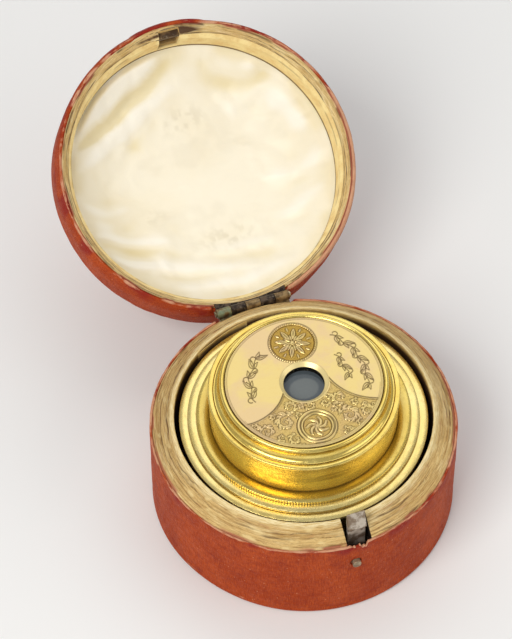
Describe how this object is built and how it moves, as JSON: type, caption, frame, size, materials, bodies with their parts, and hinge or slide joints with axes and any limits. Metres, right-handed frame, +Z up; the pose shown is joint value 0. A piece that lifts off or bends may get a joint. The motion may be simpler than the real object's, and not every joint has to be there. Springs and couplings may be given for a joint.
{
  "type": "draw monocular",
  "caption": "Pocket draw monocular: nested gilt-brass draw tubes with a broad engraved eyepiece, standing in a round hinged leather case with a silk-lined domed lid and a spring catch.",
  "frame": {"origin": "centre of the case's flat underside, where it rests on a table", "axes": "+Z up along the axis of the case and of the monocular, -Y towards the catch and push button, +Y towards the hinge, X along the hinge pin"},
  "size_m": [0.0774, 0.1499, 0.0594],
  "materials": {
    "case_leather": "worn grained leather",
    "pasteboard": "layered pasteboard with worn gilt paper",
    "lining_paper": "matt lining paper",
    "floor_cloth": "thin felted cloth",
    "silk": "padded satin silk",
    "hinge_bronze": "dark tarnished bronze with verdigris",
    "rivet_brass": "plain turned brass",
    "spring_steel": "tarnished spring steel",
    "button_brass": "dull worn brass",
    "gilt_brass": "lacquered gilt brass",
    "optical_glass": "polished",
    "blackened_brass": "blackened"
  },
  "bodies": {
    "case": {"case_leather_base": "case_leather", "case_leather_side": "case_leather", "case_floor": "pasteboard", "case_wall": "pasteboard", "case_liner": "lining_paper", "case_floor_pad": "floor_cloth", "hinge_base_leaf": "hinge_bronze", "hinge_base_rivets": "rivet_brass", "hinge_pin": "hinge_bronze", "catch_rivet": "spring_steel"},
    "catch": {"catch_spring": "spring_steel", "catch_button": "button_brass"},
    "lid": {"lid_wall": "pasteboard", "lid_crown": "pasteboard", "lid_leather": "case_leather", "lid_liner": "lining_paper", "lid_silk_pad": "silk", "lid_keeper": "spring_steel", "hinge_lid_leaf": "hinge_bronze", "hinge_lid_rivets": "rivet_brass"},
    "monocular": {"body_tube": "gilt_brass", "body_ring": "gilt_brass", "objective_cell": "gilt_brass", "objective_lens": "optical_glass", "objective_retaining_ring": "rivet_brass"},
    "draw_1": {"draw_1_tube": "gilt_brass", "draw_1_ring": "gilt_brass", "draw_1_stop_ring": "rivet_brass"},
    "draw_2": {"draw_2_tube": "gilt_brass", "draw_2_ring": "gilt_brass", "draw_2_stop_ring": "rivet_brass"},
    "eyepiece": {"eyepiece_tube": "gilt_brass", "eyepiece_stop_ring": "rivet_brass", "eyepiece_head": "gilt_brass", "eyepiece_plate": "gilt_brass", "eye_lens": "optical_glass", "eye_lens_cell": "rivet_brass", "eye_lens_retainer": "blackened_brass"}
  },
  "joints": [
    {"name": "lid_hinge", "type": "hinge", "parent": "case", "child": "lid", "pos_m": [0, 0.03767, 0.02705], "axis": [-1, 0, 0], "range_deg": [-154.5, 0]},
    {"name": "catch_press", "type": "hinge", "parent": "case", "child": "catch", "pos_m": [0, -0.03405, 0.011], "axis": [-1, 0, 0], "range_deg": [0, 3.2], "stiffness_Nm_per_rad": 0.25, "springref_deg": -1.15},
    {"name": "monocular_lift", "type": "slide", "parent": "case", "child": "monocular", "axis": [0, 0, 1], "range_m": [0, 0.06]},
    {"name": "draw_1_slide", "type": "slide", "parent": "monocular", "child": "draw_1", "axis": [0, 0, 1], "range_m": [0, 0.0128]},
    {"name": "draw_2_slide", "type": "slide", "parent": "draw_1", "child": "draw_2", "axis": [0, 0, 1], "range_m": [0, 0.01415]},
    {"name": "draw_3_slide", "type": "slide", "parent": "draw_2", "child": "eyepiece", "axis": [0, 0, 1], "range_m": [-0.0089, 0.0061]}
  ]
}
